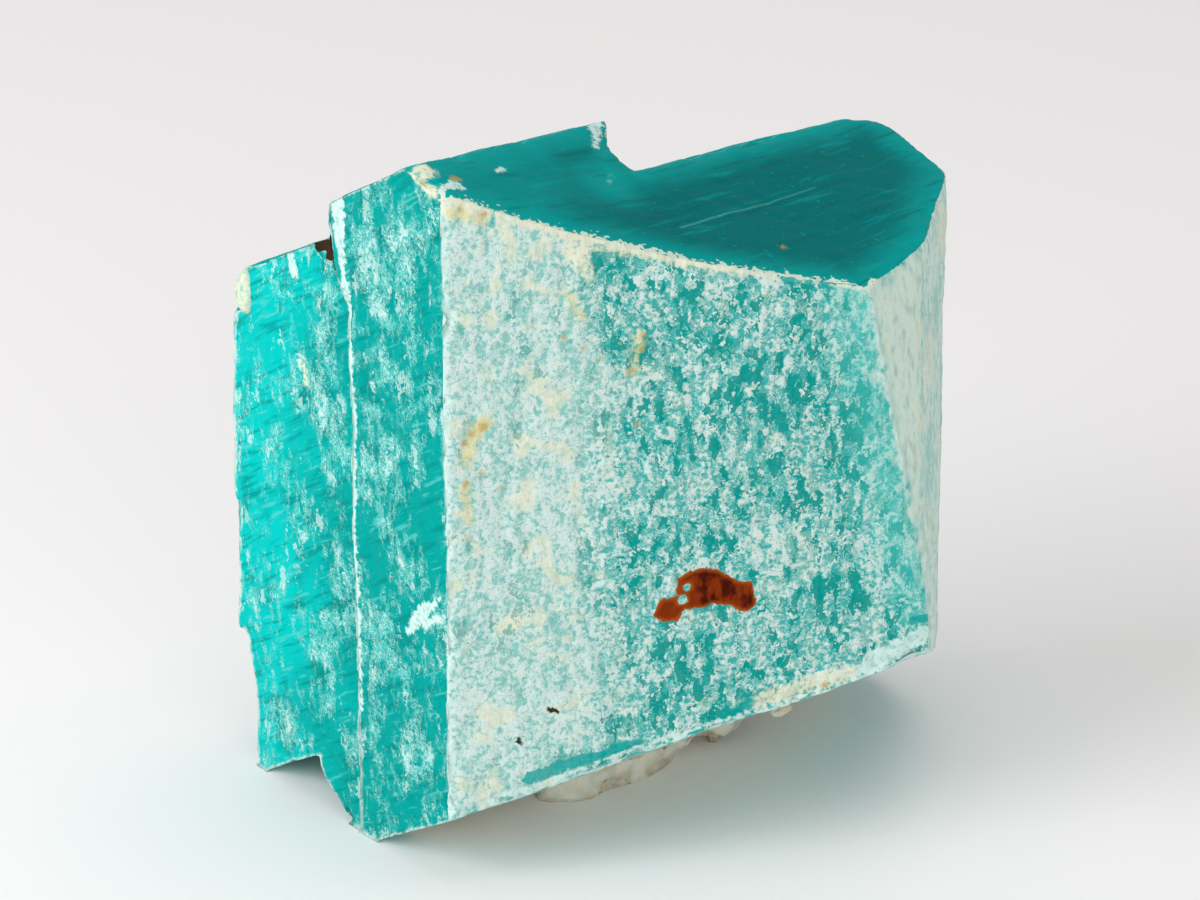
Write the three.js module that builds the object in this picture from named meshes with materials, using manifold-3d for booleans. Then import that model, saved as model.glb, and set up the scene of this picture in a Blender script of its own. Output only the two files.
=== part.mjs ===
// Rough amazonite: one blocky crystal of blue-green microcline feldspar, standing on a small
// flat spot under its left half, with an albite crust grown on its underside.
// Millimetres and degrees, +Z up. The wide front face looks along -Y, a little to the right.
import * as THREE from "three";
import { ImprovedNoise } from "three/addons/math/ImprovedNoise.js";
import { mergeVertices } from "three/addons/utils/BufferGeometryUtils.js";
import Module from "manifold-3d";

// The crystal is laid out from the foot of its front edge, the upright edge between the wide
// front face and the left face. Directions are angles in plan, from +X towards +Y.
const FRONT_DIRECTION = -78.4;
const LEFT_DIRECTION = -140;
const ALONG_LEFT = LEFT_DIRECTION - 90;
const LEFT_END_DIRECTION = 163;
const BACK_DIRECTION = 101.6;

// The cleavage runs through the whole stone and falls away to the back left. Each level is
// the height at which that plane of cleavage would cross the front edge.
const CLEAVAGE_DIP = 31.9;
const CLEAVAGE_FALL = 128.2;
const TOP_LEVEL = 50.2;
const NOTCH_LEVEL = 45.5;
const SIDE_FOOT_LEVEL = 12.2;
const FOOT_LEVEL = 4.7;
const SIDE_TOP_LEVEL = 47.2;
const SIDE_TOP_DIP = 28.8;

// The dark top face falls to the right and sags between its two ends.
const TOP_LEFT_HEIGHT = 47.4;
const TOP_RIGHT_HEIGHT = 38.9;
const TOP_SPAN = 25;
const TOP_SAG = 0.9;
const TOP_RISE_TO_BACK = 3.4;
const TOP_STRIPS = 15;

// Distances along the left face, from the front edge.
const PLATE_WIDTH = 9.4;
const LIP_WIDTH = 11.3;
const SHOULDER_WIDTH = 20.7;
const SIDE_WIDTH = 22.2;
const SIDE_SET_BACK = 0.5;

// The lumps of the crust: the middle, then the width, depth and height, then the turn in plan.
const CRUST_LUMPS = [
  [10.8, 17.2, 1.2, [15.6, 7.4, 5.2], 41],
  [7.6, 13, 0.9, [6.4, 4, 3.4], 12],
  [17.2, 19.2, 2.3, [5.6, 3.8, 4.2], 38],
  [15.2, 14.5, 4.7, [4.8, 2, 1.7], 30],
  [20.9, 10.3, 7.4, [2.6, 1.6, 1.8], 25],
];
const LUMP_DETAIL = 4;

// The swellings on a lump: their size and height as shares of the lump's radius.
const SWELLINGS = [
  { size: 0.8, height: 0.3 },
  { size: 0.35, height: 0.12 },
];

// How far the faces bend away from flat: little where they grew, more where the stone broke.
const GROWN_ROUGHNESS = 0.08;
const BROKEN_ROUGHNESS = 0.24;
const LEFT_END_SHARE = 0.7;

// The bends come in long waves and in short ones, each with its height for a roughness of 1.
const WAVES = [
  { size: 7.5, height: 2.2, seed: 3.3 },
  { size: 2.7, height: 1, seed: 11.9 },
];

// Where the stone turns rough: towards the back face, below the upper edge, at the left end.
// The last range is where the bends fade out above the resting spot.
const TOWARDS_BACK = { from: -6, to: -1 };
const BELOW_TOP = { from: 35, to: 27 };
const TOWARDS_LEFT = { from: -11, to: -13 };
const ABOVE_REST = { from: 0, to: 2 };

// A box of this size is larger than the stone, wherever it is put.
const BLOCK = 160;

// Triangles: the longest side, how often sides are turned between two cuts, how nearly
// parallel two normals are on one flat face, and the angle sum above which a side is turned.
const LONGEST_SIDE = 2.4;
const TURNING_ROUNDS = 12;
const SAME_PLANE = 0.99995;
const TOO_WIDE = Math.PI + 0.001;
const SIDES = [[0, 1, 2], [1, 2, 0], [2, 0, 1]];

const wasm = await Module();
wasm.setup();
const noise = new ImprovedNoise();

function direction(azimuth, tilt) {
  const turn = THREE.MathUtils.degToRad(azimuth);
  const rise = THREE.MathUtils.degToRad(tilt);
  return new THREE.Vector3(
    Math.cos(turn) * Math.cos(rise),
    Math.sin(turn) * Math.cos(rise),
    Math.sin(rise),
  );
}

// A flat face: where it looks in plan, how far it looks up, and a point that it passes through.
function face(azimuth, tilt, x, y, z) {
  return { normal: direction(azimuth, tilt), point: new THREE.Vector3(x, y, z) };
}

// A face whose point is given by its distance along the left face and its height.
function faceOnLeft(azimuth, tilt, distance, height) {
  const foot = direction(ALONG_LEFT, 0).multiplyScalar(distance);
  return face(azimuth, tilt, foot.x, foot.y, height);
}

// The same face, moved into the stone.
function inset({ normal, point }, depth) {
  return { normal, point: point.clone().addScaledVector(normal, -depth) };
}

// The same plane as a face that looks the other way.
function reversed({ normal, point }) {
  return { normal: normal.clone().negate(), point };
}

function cleavage(level, dip = CLEAVAGE_DIP) {
  return face(CLEAVAGE_FALL, 90 - dip, 0, 0, level);
}

const FRONT = face(FRONT_DIRECTION, 0, 0, 0, 0);
const LEFT = face(LEFT_DIRECTION, 0, 0, 0, 0);
const SIDE = inset(face(LEFT_DIRECTION, 0.5, 0, 0, 40), SIDE_SET_BACK);
const RIGHT_BEVEL = face(-28.7, 8.8, 25.8, 5.3, 39.3);
const RIGHT_SHOULDER = face(-11, 4, 30.4, 16, 38.6);
const RIGHT = face(-3.2, 0, 30.8, 6.3, 13);
const BACK_RIGHT = face(29.5, 0, 29.6, 27.4, 38);
const BACK_CORNER = face(57, 6, 28.1, 29.85, 40);
const BACK = face(BACK_DIRECTION, 0, 27.3, 30.25, 38);
const FLOOR = face(0, -90, 0, 0, 0);
const BACK_UNDERCUT = face(100, -62, 0, 21.5, 0);

// The faces that every block of the crystal shares.
const OUTLINE = [
  FRONT,
  RIGHT_BEVEL,
  RIGHT_SHOULDER,
  RIGHT,
  BACK_RIGHT,
  BACK_CORNER,
  BACK,
  FLOOR,
  BACK_UNDERCUT,
];

function toSolid(geometry) {
  const bare = geometry.clone();
  bare.deleteAttribute("normal");
  bare.deleteAttribute("uv");
  const merged = mergeVertices(bare);
  const mesh = new wasm.Mesh({
    numProp: 3,
    vertProperties: new Float32Array(merged.attributes.position.array),
    triVerts: new Uint32Array(merged.index.array),
  });
  return new wasm.Manifold(mesh);
}

// Everything on the outer side of a face, as one large box.
function beyond({ normal, point }) {
  const box = new THREE.BoxGeometry(BLOCK, BLOCK, BLOCK);
  box.translate(0, 0, BLOCK / 2);
  const turn = new THREE.Quaternion().setFromUnitVectors(new THREE.Vector3(0, 0, 1), normal);
  box.applyQuaternion(turn);
  box.translate(point.x, point.y, point.z);
  return toSolid(box);
}

// A convex block: a large box cut by each of the faces.
function block(faces) {
  const whole = toSolid(new THREE.BoxGeometry(BLOCK, BLOCK, BLOCK));
  return faces.reduce((left, each) => left.subtract(beyond(each)), whole);
}

function joined(solids) {
  return solids.reduce((sum, each) => sum.add(each));
}

// Everything above the dark top face, whose profile is a parabola that runs past both ends.
function aboveTop() {
  const fall = (TOP_RIGHT_HEIGHT - TOP_LEFT_HEIGHT) / TOP_SPAN;
  const bend = (4 * TOP_SAG) / TOP_SPAN ** 2;
  const height = (x) => TOP_LEFT_HEIGHT + fall * x + bend * x * (x - TOP_SPAN);
  const slope = (x) => fall + bend * (2 * x - TOP_SPAN);
  const low = -TOP_SPAN;
  const high = 2 * TOP_SPAN;
  const middle = (low + high) / 2;
  const profile = new THREE.Shape();
  profile.moveTo(low, height(low));
  profile.quadraticCurveTo(middle, height(low) + slope(low) * (middle - low), high, height(high));
  profile.lineTo(high, BLOCK);
  profile.lineTo(low, BLOCK);
  const options = { depth: BLOCK, bevelEnabled: false, curveSegments: TOP_STRIPS };
  const slab = new THREE.ExtrudeGeometry(profile, options);
  slab.translate(0, 0, -BLOCK / 2);
  slab.rotateX(Math.PI / 2 + THREE.MathUtils.degToRad(TOP_RISE_TO_BACK));
  return toSolid(slab);
}

// The tall part: a thin plate beside the front edge, the lip at the plate's top, and the body
// that both of them stand proud of.
function tallPart() {
  const plateEnd = faceOnLeft(ALONG_LEFT, 0, PLATE_WIDTH, 0);
  const lipEnd = faceOnLeft(ALONG_LEFT, 0, LIP_WIDTH, 0);
  const lipUnderside = faceOnLeft(ALONG_LEFT, -33, LIP_WIDTH, 39.6);
  const bodyEnd = faceOnLeft(160, 3, LIP_WIDTH, 42);
  const footBevel = faceOnLeft(ALONG_LEFT, -49, 10.9, 0.2);
  const shared = [...OUTLINE, cleavage(TOP_LEVEL), reversed(cleavage(FOOT_LEVEL))];
  return joined([
    block([...shared, LEFT, plateEnd]),
    block([...shared, LEFT, lipEnd, lipUnderside]),
    block([...shared, SIDE, bodyEnd, footBevel]),
  ]);
}

// The lower part on the left, between two planes of cleavage.
function sidePart() {
  const end = faceOnLeft(LEFT_END_DIRECTION, 0, SIDE_WIDTH, 0);
  const top = cleavage(SIDE_TOP_LEVEL, SIDE_TOP_DIP);
  const underside = reversed(cleavage(SIDE_FOOT_LEVEL));
  return block([...OUTLINE, SIDE, end, top, underside]);
}

// The places where pieces have come away: the notch in the top back edge, the shoulder and the
// foot of the left end, the chipped corner above the front edge, and the ledges behind.
function breaks() {
  const notchWall = face(183, 0, 10, 18, 43);
  const slantingWall = face(213, 0, 10.8, 14.4, 43);
  const notch = block([notchWall, slantingWall, reversed(cleavage(NOTCH_LEVEL))]);

  const shoulderWall = reversed(faceOnLeft(LEFT_END_DIRECTION, 0, SHOULDER_WIDTH, 0));
  const shoulderFloor = faceOnLeft(ALONG_LEFT + 180, -70, SHOULDER_WIDTH, 32.7);
  const shoulder = block([shoulderWall, shoulderFloor]);

  const footWall = reversed(faceOnLeft(LEFT_END_DIRECTION, -3, SHOULDER_WIDTH + 0.4, 6));
  const footRoof = faceOnLeft(ALONG_LEFT, 60, SIDE_WIDTH, 9.6);
  const foot = block([footWall, footRoof]);

  const corner = beyond(face(268, 69.5, -1, 2.1, 47.75));
  const hollow = lump(-7.6, 9.8, 39.7, [1.5, 2.2, 1.9], -ALONG_LEFT - 10);

  const ledgeWall = reversed(inset(BACK, 1.7));
  const upperLedge = block([ledgeWall, reversed(cleavage(33)), face(10, 0, 19, 26, 0)]);
  const lowerLedge = block([reversed(inset(BACK, 1.2)), cleavage(19), face(14, 0, 15, 26, 0)]);
  const sideLedge = block([reversed(inset(BACK_RIGHT, 1.4)), cleavage(30), reversed(cleavage(14))]);
  return [notch, shoulder, foot, corner, hollow, upperLedge, lowerLedge, sideLedge];
}

// A rounded lump with an uneven skin: its middle, its width, depth and height, and its turn.
function lump(x, y, z, [width, depth, height], turn) {
  const ball = new THREE.IcosahedronGeometry(1, LUMP_DETAIL);
  const spot = new THREE.Vector3();
  const position = ball.attributes.position;
  for (let i = 0; i < position.count; i += 1) {
    spot.fromBufferAttribute(position, i);
    const swells = SWELLINGS.map(({ size, height }) => height * wobble(spot, size, x).x);
    spot.multiplyScalar(swells.reduce((sum, each) => sum + each, 1));
    position.setXYZ(i, spot.x, spot.y, spot.z);
  }
  ball.scale(width / 2, depth / 2, height / 2);
  ball.rotateZ(THREE.MathUtils.degToRad(turn));
  ball.translate(x, y, z);
  return toSolid(ball);
}

// The crust fills the wedge between the underside and the surface that the stone stands on,
// with two flakes of it further right.
function crust() {
  return joined(CRUST_LUMPS.map((each) => lump(...each))).subtract(beyond(FLOOR));
}

function crystal() {
  const whole = tallPart().add(sidePart()).subtract(aboveTop());
  return breaks().reduce((left, each) => left.subtract(each), whole);
}

// The triangles of a solid, as corner points and triples of their numbers.
function trianglesOf(solid) {
  const { vertProperties, triVerts } = solid.getMesh();
  const points = [];
  for (let i = 0; i < vertProperties.length; i += 3) {
    points.push(new THREE.Vector3().fromArray(vertProperties, i));
  }
  const triangles = [];
  for (let i = 0; i < triVerts.length; i += 3) {
    triangles.push([...triVerts.slice(i, i + 3)]);
  }
  return { points, triangles };
}

// A triangle cut at the middles of some of its sides. A middle is undefined where a side stays.
function cutTriangle([a, b, c], [ab, bc, ca]) {
  if (ab === undefined && (bc ?? ca) !== undefined) {
    return cutTriangle([b, c, a], [bc, ca, ab]);
  }
  if (ab === undefined) {
    return [[a, b, c]];
  }
  if (bc === undefined && ca === undefined) {
    return [[a, ab, c], [ab, b, c]];
  }
  if (ca === undefined) {
    return [[a, ab, c], [ab, bc, c], [ab, b, bc]];
  }
  if (bc === undefined) {
    return [[a, ab, ca], [ab, b, ca], [b, c, ca]];
  }
  return [[a, ab, ca], [ab, b, bc], [ca, bc, c], [ab, bc, ca]];
}

// Splits the longest side of every triangle that has one over the limit. Says if any was.
function splitLongSides(mesh) {
  const middles = new Map();
  const name = (a, b) => `${Math.min(a, b)} ${Math.max(a, b)}`;
  const length = (a, b) => mesh.points[a].distanceTo(mesh.points[b]);
  for (const triangle of mesh.triangles) {
    const sides = SIDES.map(([i, j]) => [triangle[i], triangle[j]]);
    const [a, b] = sides.sort((p, q) => length(...q) - length(...p))[0];
    if (length(a, b) > LONGEST_SIDE && !middles.has(name(a, b))) {
      middles.set(name(a, b), mesh.points.length);
      mesh.points.push(mesh.points[a].clone().lerp(mesh.points[b], 0.5));
    }
  }
  mesh.triangles = mesh.triangles.flatMap((triangle) => {
    const cuts = SIDES.map(([i, j]) => middles.get(name(triangle[i], triangle[j])));
    return cutTriangle(triangle, cuts);
  });
  return middles.size > 0;
}

function normalOf(a, b, c) {
  return b.clone().sub(a).cross(c.clone().sub(a)).normalize();
}

function angleAt(corner, a, b) {
  return a.clone().sub(corner).angleTo(b.clone().sub(corner));
}

// Two triangles of one flat face share the side a-b. True where the side c-d serves better.
function shouldTurn(a, b, c, d) {
  const normal = normalOf(a, b, c);
  const flat = normal.dot(normalOf(b, a, d)) >= SAME_PLANE;
  const stillOutwards = normal.dot(normalOf(a, d, c)) > 0 && normal.dot(normalOf(d, b, c)) > 0;
  return flat && stillOutwards && angleAt(c, a, b) + angleAt(d, a, b) > TOO_WIDE;
}

// For each side, in the direction in which its triangle runs, the triangle and its far corner.
function sideOwners(triangles) {
  const owners = new Map();
  triangles.forEach((triangle, owner) => {
    for (const [i, j, k] of SIDES) {
      owners.set(`${triangle[i]} ${triangle[j]}`, { owner, corner: triangle[k] });
    }
  });
  return owners;
}

// Turns the sides that two triangles of one flat face share, so that none stays needlessly
// thin. Says if any was turned.
function turnSides({ points, triangles }) {
  const owners = sideOwners(triangles);
  const used = new Set();
  triangles.forEach((triangle, owner) => {
    for (const [i, j, k] of SIDES) {
      const [a, b, c] = [triangle[i], triangle[j], triangle[k]];
      const other = owners.get(`${b} ${a}`);
      const free = !used.has(owner) && !used.has(other.owner);
      if (free && shouldTurn(points[a], points[b], points[c], points[other.corner])) {
        triangles[owner] = [a, other.corner, c];
        triangles[other.owner] = [other.corner, b, c];
        used.add(owner).add(other.owner);
      }
    }
  });
  return used.size > 0;
}

function evenOut(mesh) {
  let rounds = 0;
  while (rounds < TURNING_ROUNDS && turnSides(mesh)) {
    rounds += 1;
  }
}

// Small even triangles over every face, so that the faces can be bent.
function refined(solid) {
  const mesh = trianglesOf(solid);
  let splitting = true;
  while (splitting) {
    evenOut(mesh);
    splitting = splitLongSides(mesh);
  }
  return mesh;
}

// A smooth random shift, from -1 to 1 each way: one noise, read along three orders of axes.
function wobble(spot, size, seed) {
  const { x, y, z } = spot.clone().divideScalar(size).addScalar(seed);
  return new THREE.Vector3(
    noise.noise(x, y, z),
    noise.noise(y, z + BLOCK, x),
    noise.noise(z - BLOCK, x, y),
  );
}

// 0 before the range, 1 after it, and a smooth step between.
function ramp(value, { from, to }) {
  return THREE.MathUtils.smoothstep((value - from) / (to - from), 0, 1);
}

// How rough the stone is at a spot.
function roughness(spot) {
  const toBack = spot.clone().sub(BACK.point).dot(BACK.normal);
  const behind = ramp(toBack, TOWARDS_BACK) * ramp(spot.z, BELOW_TOP);
  const leftEnd = LEFT_END_SHARE * ramp(spot.x, TOWARDS_LEFT);
  return GROWN_ROUGHNESS + BROKEN_ROUGHNESS * Math.max(behind, leftEnd);
}

// Bends the flat faces a little, as grown and weathered faces are, and leaves the resting
// spot flat.
function weathered({ points, triangles }) {
  const position = new Float32Array(points.length * 3);
  points.forEach((spot, i) => {
    const shift = new THREE.Vector3();
    for (const { size, height, seed } of WAVES) {
      shift.addScaledVector(wobble(spot, size, seed), height * roughness(spot));
    }
    shift.z *= ramp(spot.z, ABOVE_REST);
    shift.add(spot).toArray(position, 3 * i);
  });
  const geometry = new THREE.BufferGeometry();
  geometry.setAttribute("position", new THREE.BufferAttribute(position, 3));
  geometry.setIndex(triangles.flat());
  return geometry;
}

// Puts the middle of the geometry's box over the origin, with its lowest points at zero.
function centred(geometry) {
  geometry.computeBoundingBox();
  const middle = geometry.boundingBox.getCenter(new THREE.Vector3());
  return geometry.translate(-middle.x, -middle.y, -geometry.boundingBox.min.z);
}

function toGeometry(solid) {
  const { vertProperties, triVerts } = solid.getMesh();
  const geometry = new THREE.BufferGeometry();
  geometry.setAttribute("position", new THREE.BufferAttribute(vertProperties, 3));
  geometry.setIndex(new THREE.BufferAttribute(triVerts, 1));
  return geometry;
}

const amazonite = new THREE.MeshStandardMaterial({
  name: "amazonite",
  color: 0x5fbfb4,
  roughness: 0.55,
  metalness: 0,
});
const whole = toSolid(weathered(refined(crystal()))).add(crust());
const stone = new THREE.Mesh(centred(toGeometry(whole)), amazonite);
stone.name = "amazonite_crystal";

const root = new THREE.Group();
root.add(stone);
export default root;
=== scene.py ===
"""A rough amazonite crystal on a plain pale floor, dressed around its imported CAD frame."""
import math
from itertools import product

import bpy
import numpy as np
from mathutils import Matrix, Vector
from mathutils.kdtree import KDTree


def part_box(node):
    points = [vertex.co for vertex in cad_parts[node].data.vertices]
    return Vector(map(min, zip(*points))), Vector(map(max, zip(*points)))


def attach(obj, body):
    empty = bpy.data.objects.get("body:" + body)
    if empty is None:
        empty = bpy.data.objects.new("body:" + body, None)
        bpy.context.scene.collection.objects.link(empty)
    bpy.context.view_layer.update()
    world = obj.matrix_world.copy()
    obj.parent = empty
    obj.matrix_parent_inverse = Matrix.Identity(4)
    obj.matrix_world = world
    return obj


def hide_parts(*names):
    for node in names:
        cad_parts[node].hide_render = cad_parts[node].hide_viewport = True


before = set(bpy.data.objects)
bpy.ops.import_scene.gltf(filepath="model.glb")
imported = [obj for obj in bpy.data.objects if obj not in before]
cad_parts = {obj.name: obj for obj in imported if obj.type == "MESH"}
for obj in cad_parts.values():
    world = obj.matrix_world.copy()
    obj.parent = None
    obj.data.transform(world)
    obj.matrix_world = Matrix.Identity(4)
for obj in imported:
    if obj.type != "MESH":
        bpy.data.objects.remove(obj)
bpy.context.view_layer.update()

MM = 0.001
NODE = "amazonite_crystal"

# The crystal's own coordinates are in millimetres from the foot of its front edge, where the wide
# front face meets the left face. This is that foot's place in the frame.
FOOT = np.array(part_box(NODE)[0]) / MM + (14.3418, 0.0959, 0.0)

# ---- Camera: millimetres in the frame, and degrees -----------------------------------------------
CAMERA_TARGET = (0.683, -9.263, 27.83)
CAMERA_DISTANCE = 311.14
CAMERA_ELEVATION = 25.0
CAMERA_CLIP = (10.0, 20000.0)
LENS = 150.0
SENSOR_WIDTH = 36.0

# ---- Faces: the compass direction of each outward normal, and its tilt up, in degrees ------------
FRONT_AZIMUTH = -78.4
LEFT_AZIMUTH = -140.0
BEVEL_AZIMUTH, BEVEL_TILT = -28.7, 8.8
RIGHT_AZIMUTH = -8.0
# The least cosine between a triangle's normal and that of the face that it belongs to.
FACING = {"front": 0.96, "left": 0.93, "bevel": 0.975, "right": 0.9, "level": 0.7}
# The front face's triangles are this close to its plane.
FRONT_REACH = 1.2
# Level triangles above this height are the top, or the ledge where they lean further to the left.
TOP_ABOVE = 30.0
LEDGE_LEAN = -0.05
# The crust's region is this much larger than its lumps, and holds nothing level above this height.
CRUST_SWELL = 1.12
CRUST_BELOW = 20.0
# The crust's lumps: the middle, the radii along, across and up, and the turn in degrees.
CRUST_LUMPS = [
    ((10.8, 17.2, 1.2), (15.6, 7.4, 5.2), 41),
    ((7.6, 13, 0.9), (6.4, 4, 3.4), 12),
    ((17.2, 19.2, 2.3), (5.6, 3.8, 4.2), 38),
    ((15.2, 14.5, 4.7), (4.8, 2, 1.7), 30),
    ((20.9, 10.3, 7.4), (2.6, 1.6, 1.8), 25),
]


def direction(azimuth, tilt=0.0):
    """The unit vector at that compass angle, tilted up, both in degrees."""
    a, t = math.radians(azimuth), math.radians(tilt)
    return np.array([math.cos(t) * math.cos(a), math.cos(t) * math.sin(a), math.sin(t)])


FRONT_NORMAL = direction(FRONT_AZIMUTH)
LEFT_NORMAL = direction(LEFT_AZIMUTH)
ALONG_FRONT = direction(FRONT_AZIMUTH + 90)
ALONG_LEFT = direction(LEFT_AZIMUTH - 90)

# The front gets greener and the left face brighter, a painted glow of light, away from the front
# edge: along which axis, how far the border wanders, and where the change starts and ends.
SPREAD = [(ALONG_FRONT, 1.8, 7.4, 11.4), (ALONG_LEFT, 4.0, 8.0, 19.0)]

# The cleavage cuts through the whole crystal as one family of parallel planes. The fine lines on
# the top run in a direction of their own.
CLEAVAGE_DIP, CLEAVAGE_FALL = 31.9, 128.2
CLEAVAGE_NORMAL = direction(CLEAVAGE_FALL, 90 - CLEAVAGE_DIP)
CLEAVAGE_FALL_LINE = direction(CLEAVAGE_FALL, -CLEAVAGE_DIP)
CLEAVAGE_STRIKE = direction(CLEAVAGE_FALL + 90)
TOP_LINE_ALONG = direction(50)
TOP_LINE_ACROSS = direction(140)

# ---- Marks on the faces --------------------------------------------------------------------------
# Each is (kind, face, half widths at its two ends, points). On the front and left faces, points are
# millimetres along the face from the front edge, and height. Elsewhere they are x and y.
MARKS = [
    ("white", "front", (0.3, 0.3), [(0.1, 4.9), (0.1, 46.9)]),
    ("white", "front", (0.14, 0.14), [(0, 5.2), (12.2, 8.7), (31, 13.4)]),
    ("white", "front", (0.06, 0.06), [(9.7, 32.5), (9.8, 20)]),
    ("cream", "front", (0.6, 0.25), [(0.4, 46.6), (2.9, 45.8)]),
    ("cream", "front", (0.22, 0.18), [(3.6, 46), (3.6, 44.9)]),
    ("cream", "front", (0.25, 0.4), [(4.6, 45.2), (10.9, 42.6)]),
    ("cream", "front", (0.22, 0.12), [(10.9, 42.6), (19.5, 40.3)]),
    ("white", "front", (0.75, 0.7), [(27.2, 13.1), (30.3, 14.6)]),
    ("white", "front", (0.5, 0.3), [(23.4, 12.3), (27.2, 12.9)]),
    ("cream", "front", (0.5, 0.5), [(19.8, 11.2), (25.6, 12.6)]),
    ("cream", "front", (0.7, 0.4), [(8.2, 43), (8.8, 41.4)]),
    ("teal", "front", (0.55, 0.35), [(5.3, 7.25), (7.2, 7.95), (9.7, 8.5), (12.2, 9)]),
    ("teal", "front", (0.3, 0.4), [(15.8, 9.4), (18.3, 10.4), (20, 11.6)]),
    ("teal", "front", (0.3, 0.35), [(29.7, 15.8), (30.6, 15.9), (31.2, 15.4)]),
    ("teal", "front", (0.12, 0.12), [(3.15, 46), (3.2, 45)]),
    ("teal", "front", (0.25, 0.15), [(21, 40), (22.6, 39.6)]),
    ("teal", "front", (0.2, 0.3), [(23.6, 39.5), (25.6, 39.3)]),
    ("dark", "front", (0.2, 0.14), [(6.7, 12), (6.95, 11.85)]),
    ("dark", "front", (0.14, 0.14), [(4.4, 10.3), (4.5, 10)]),
    ("white", "left", (0.75, 0.2), [(10.7, 44.5), (10.1, 40.6), (9.65, 37.6)]),
    ("white", "left", (0.3, 0.24), [(9.6, 37.6), (9.4, 30.7), (9.4, 23.8), (9.35, 17.3)]),
    ("white", "left", (0.16, 0.05), [(9.3, 17.3), (9, 9)]),
    ("white", "left", (0.35, 0.35), [(16.1, 38.2), (15.6, 36.9)]),
    ("white", "left", (0.2, 0.55), [(4, 16.6), (2.6, 18.4)]),
    ("white", "left", (0.5, 0.15), [(2.6, 18.4), (0.7, 20.1)]),
    ("white", "left", (0.35, 0.1), [(2.2, 17.9), (0.5, 18.9)]),
    ("cream", "left", (0.28, 0.24), [(14.95, 31), (14.6, 29.8)]),
    ("yellow", "front", (0.45, 0.3), [(2.5, 31.9), (1.7, 31), (1.4, 29.4)]),
    ("yellow", "front", (0.3, 0.2), [(1.2, 27.8), (1.6, 25.6)]),
    ("yellow", "front", (0.3, 0.3), [(7.6, 40.2), (8.6, 38.6)]),
    ("yellow", "front", (0.25, 0.25), [(0.8, 45.9), (2.6, 45.4)]),
    ("yellow", "front", (0.25, 0.25), [(12.1, 36.9), (11.7, 34.6)]),
    # Painted shade: these two dark marks darken the small hollow high on the left, and its edge.
    ("dark", "left", (0.1, 0.5), [(13.2, 39.8), (11.6, 39.9)]),
    ("dark", "hollow", (1.7, 1.7), [(-7.6, 9.8), (-7.7, 9.9)]),
    ("cream", "shoulder", (1.3, 1.3), [(-13.9, 16.4), (-13.6, 16.9)]),
    ("white", "seam", (0.8, 0.8), [(-6.5, 7.7), (-5.9, 7.1)]),
    ("cream", "top", (0.55, 0.7), [(-1.6, 1.9), (-0.9, 2.4)]),
    ("cream", "top", (0.4, 0.3), [(-1.1, 1.1), (-0.4, 0.6)]),
    ("cream", "left", (0.35, 0.3), [(2.3, 47.9), (0.6, 46.9)]),
    ("white", "top", (0.3, 0.45), [(0.1, 0.9), (0.9, 1.9)]),
    ("white", "top", (0.1, 0.08), [(3.3, 6.2), (3.7, 7)]),
    ("white", "top", (0.5, 0.2), [(9.2, 19), (9.3, 15)]),
    ("trace", "top", (0.08, 0.05), [(14.4, 7.4), (17, 10.7), (23, 17.8)]),
    ("stain", "top", (0.12, 0.12), [(20.6, 8.1), (20.7, 8.3)]),
    ("stain", "top", (0.22, 0.22), [(0.75, 2.6), (0.95, 2.9)]),
    ("stain", "top", (0.16, 0.12), [(-1.1, 1.3), (-0.95, 1)]),
]
# Small round stains on the front: along, height, radius. Each is a very short stroke.
STAIN_LENGTH = 0.01
STAINS = [
    (2.5, 31.8, 0.24), (1.7, 31.4, 0.2), (1.35, 30.9, 0.2), (1.3, 28.1, 0.16), (1.5, 24.4, 0.18),
    (2.55, 45.6, 0.2), (1.2, 46.1, 0.12), (7.4, 37.35, 0.16), (8.65, 36.5, 0.13), (12.2, 36.1, 0.16),
    (12.4, 36.9, 0.13), (11.6, 34.7, 0.15), (11.95, 31.1, 0.14), (2.3, 28.7, 0.14),
    (3.6, 27.6, 0.13), (20.2, 9.95, 0.2), (21, 10.15, 0.18), (24.1, 11.9, 0.16), (31.2, 15.2, 0.25),
]
# The patch of rust on the front, and the small round holes in it: along, height, radius.
RUST_OUTLINE = [
    (12.96, 17.83), (13.6, 19.03), (14.49, 19.01), (14.54, 20.26), (15.37, 20.8), (16.39, 20.91),
    (17.22, 20.62), (18.45, 19.8), (19.42, 19.56), (19.63, 18.07), (19.19, 17.55), (18.48, 17.76),
    (17.89, 18.1), (16.8, 18.35), (15.97, 18.02), (15.07, 18.11), (14.56, 17.39), (13.73, 17.41),
]
RUST_HOLES = [(14.87, 18.83, 0.3), (15.19, 19.71, 0.22)]
# The broken parts that have marks of their own: the heights of the hollow, how far along the left
# face the seam is and how deep it goes, and the shoulder's greatest x and least height.
HOLLOW_HEIGHTS = (37.5, 41.0)
SEAM_ALONG = 9.5
SEAM_DEPTH = 1.0
SHOULDER = (-12.2, 33.5)
MARK_KINDS = ("white", "cream", "yellow", "teal", "trace", "dark", "stain", "rust")
# The depth inside a mark or region that stands for nowhere near it.
FAR_OUTSIDE = -3.0

# ---- Mesh, in millimetres ------------------------------------------------------------------------
# The vertex values that the material reads, three to an attribute, because each read takes time.
PACKS = {
    "faces_a": ("in_front", "in_left", "in_top"),
    "faces_b": ("in_bevel", "in_right", "in_ledge"),
    "ground": ("in_crust", "crease", "mark_rust"),
    "marks_a": ("mark_white", "mark_cream", "mark_yellow"),
    "marks_b": ("mark_teal", "mark_trace", "mark_dark"),
    "patterns_a": ("broad", "patchy", "cloudy"),
    "patterns_b": ("ragged", "mark_stain", "spread"),
}
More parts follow.
